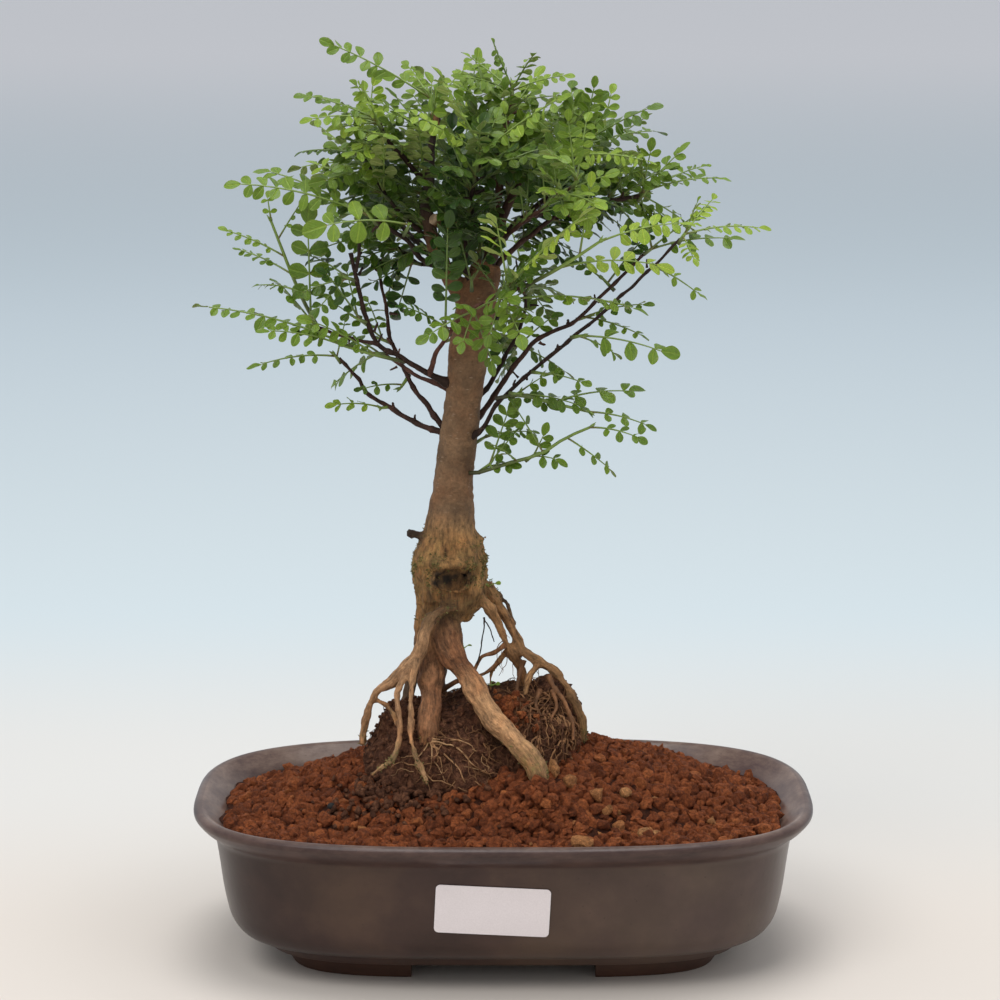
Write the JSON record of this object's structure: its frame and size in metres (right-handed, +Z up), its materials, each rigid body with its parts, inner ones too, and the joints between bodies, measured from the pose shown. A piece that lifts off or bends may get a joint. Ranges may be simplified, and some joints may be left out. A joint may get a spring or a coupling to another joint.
{
  "type": "japanese pepper bonsai",
  "caption": "Small leaning-crowned pepper tree with pinnate leaves on exposed arching roots, in soil in a low oval glazed pot on short feet.",
  "frame": {"origin": "on the ground under the middle of the pot", "axes": "+Z up, -Y towards the side the picture shows, +X to that view's right"},
  "size_m": [0.28, 0.1892, 0.4132],
  "materials": {
    "glaze": "satin",
    "soil": "matte",
    "peat": "matte",
    "bark": "matte",
    "leaf": "satin",
    "inner_leaf": "satin",
    "label": "matte",
    "mesh": "matte"
  },
  "bodies": {
    "root": {"pot": "glaze", "drain_mesh_left": "mesh", "drain_mesh_right": "mesh", "soil": "soil", "root_ball": "peat", "tree": "bark", "label": "label", "left_low": "leaf", "left_arch": "leaf", "left_round": "leaf", "left_rise": "leaf", "left_wide": "leaf", "left_front": "leaf", "left_olive": "leaf", "left_blue": "leaf", "left_top": "leaf", "top_left": "leaf", "top_front": "leaf", "top": "leaf", "right_top": "leaf", "right_thin": "leaf", "right_far": "leaf", "right_tip": "leaf", "right_hang": "leaf", "front_light": "leaf", "front_right": "leaf", "front_low": "leaf", "right_olive": "leaf", "right_round": "leaf", "right_short": "leaf", "right_low": "leaf", "low_shoot": "leaf", "trunk_side": "leaf", "left_small": "leaf", "left_pale": "leaf", "trunk_front": "leaf", "low_left_up_spray_1": "inner_leaf", "low_left_up_spray_2": "inner_leaf", "left_spray_3": "inner_leaf", "left_under_spray_4": "inner_leaf", "leader_left_outer_spray_5": "inner_leaf", "leader_left_rear_spray_6": "inner_leaf", "leader_left_spray_7": "inner_leaf", "inner_side_spray_9": "inner_leaf", "leader_middle_spray_10": "inner_leaf", "leader_right_spray_11": "inner_leaf", "leader_far_right_spray_12": "inner_leaf", "right_rear_spray_13": "inner_leaf", "right_second_spray_14": "inner_leaf", "right_second_spray_15": "inner_leaf", "right_inner_spray_16": "inner_leaf", "rear_left_spray_17": "inner_leaf", "rear_spray_18": "inner_leaf", "rear_right_spray_19": "inner_leaf", "rear_low_spray_20": "inner_leaf", "front_right_spray_21": "inner_leaf"}
  },
  "joints": []
}
